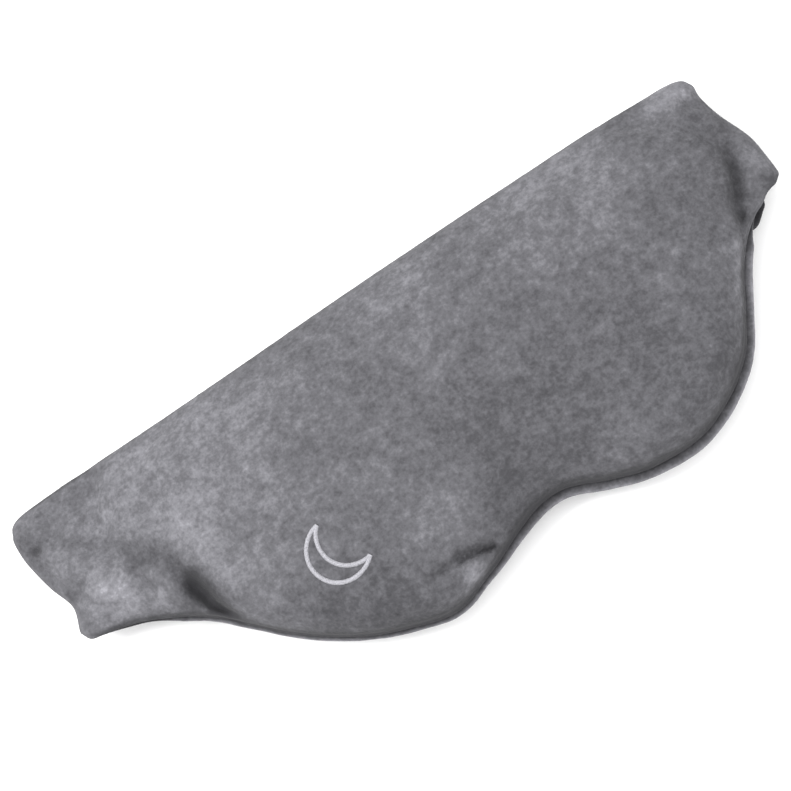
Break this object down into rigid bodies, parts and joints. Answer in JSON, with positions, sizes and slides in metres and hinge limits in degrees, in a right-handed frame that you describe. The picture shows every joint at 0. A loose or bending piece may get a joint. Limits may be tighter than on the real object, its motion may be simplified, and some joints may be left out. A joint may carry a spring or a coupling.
{
  "type": "eye massager mask",
  "caption": "Soft plush mask with rounded eye lobes, a nose notch, vibration pods inside and head straps folded beneath it.",
  "frame": {"origin": "on the resting plane, under the middle of the mask in line with the nose notch", "axes": "+X from the left wing to the right wing, +Y to the forehead edge, +Z out of the plush front"},
  "size_m": [0.213, 0.0845, 0.0224],
  "materials": {
    "plush": "short soft pile, mottled where it is brushed",
    "plush_back": "short soft pile",
    "batting": "loose fibre",
    "foam": "open cell",
    "bead_cloth": "plain weave",
    "case_plastic": "fine spark texture",
    "motor_steel": "bright plated",
    "weight_metal": "sintered",
    "board": "solder mask",
    "cell_foil": "laminated foil",
    "silicone": "satin",
    "lamp": "clear",
    "lead_sheath": "satin",
    "webbing": "ribbed knit elastic",
    "touch_tape": "hook or loop pile",
    "thread": "satin stitch"
  },
  "bodies": {
    "mask": {"front_cover": "plush", "back_cover": "plush_back", "front_padding": "batting", "foam_core": "foam", "left_bead_pouch": "bead_cloth", "right_bead_pouch": "bead_cloth", "left_pod_tray": "case_plastic", "left_pod_lid": "case_plastic", "left_motor_base": "motor_steel", "left_motor_can": "motor_steel", "right_pod_tray": "case_plastic", "right_pod_lid": "case_plastic", "right_motor_base": "motor_steel", "right_motor_can": "motor_steel", "control_tray": "case_plastic", "control_lid": "case_plastic", "circuit_board": "board", "battery_cell": "cell_foil", "charging_port": "motor_steel", "switch_body": "case_plastic", "status_lamp": "lamp", "case_screw_1": "motor_steel", "case_screw_2": "motor_steel", "case_screw_3": "motor_steel", "case_screw_4": "motor_steel", "left_lead": "lead_sheath", "right_lead": "lead_sheath", "embroidered_crescent": "thread"},
    "left_strap": {"left_strap": "plush_back"},
    "left_strap_end": {"left_strap_elastic": "webbing", "loop_pad": "touch_tape"},
    "right_strap": {"right_strap": "plush_back"},
    "right_strap_end": {"right_strap_elastic": "webbing", "hook_pad": "touch_tape"},
    "button": {"button_cap": "silicone"},
    "plunger": {"switch_plunger": "silicone"},
    "left_weight": {"left_motor_weight": "weight_metal"},
    "right_weight": {"right_motor_weight": "weight_metal"}
  },
  "joints": [
    {"name": "left_strap_fold", "type": "hinge", "parent": "mask", "child": "left_strap", "pos_m": [-0.1134, 0.0393, 0.0047], "axis": [0, 1, 0], "range_deg": [0, 180]},
    {"name": "left_strap_end_fold", "type": "hinge", "parent": "left_strap", "child": "left_strap_end", "pos_m": [-0.028, 0.0393, 0.0031], "axis": [0, -1, 0], "range_deg": [0, 180]},
    {"name": "right_strap_fold", "type": "hinge", "parent": "mask", "child": "right_strap", "pos_m": [0.088, 0.0393, 0.0047], "axis": [0, -1, 0], "range_deg": [0, 180]},
    {"name": "right_strap_end_fold", "type": "hinge", "parent": "right_strap", "child": "right_strap_end", "pos_m": [-0.018, 0.0393, 0.0031], "axis": [0, 1, 0], "range_deg": [0, 180]},
    {"name": "button_press", "type": "slide", "parent": "mask", "child": "button", "axis": [0, 0, -1], "range_m": [0, 0.0004], "stiffness_N_per_m": 500},
    {"name": "plunger_press", "type": "slide", "parent": "mask", "child": "plunger", "axis": [0, 0, -1], "range_m": [0, 0.0004]},
    {"name": "left_motor_spin", "type": "hinge", "parent": "mask", "child": "left_weight", "pos_m": [-0.046, 0, 0.009], "axis": [0, 0, 1], "continuous": true},
    {"name": "right_motor_spin", "type": "hinge", "parent": "mask", "child": "right_weight", "pos_m": [0.046, 0, 0.009], "axis": [0, 0, 1], "continuous": true}
  ],
  "couplings": [
    {"joint": "left_strap_end_fold", "follows": "left_strap_fold", "ratio": 1},
    {"joint": "right_strap_end_fold", "follows": "right_strap_fold", "ratio": 1},
    {"joint": "plunger_press", "follows": "button_press", "ratio": 1}
  ]
}
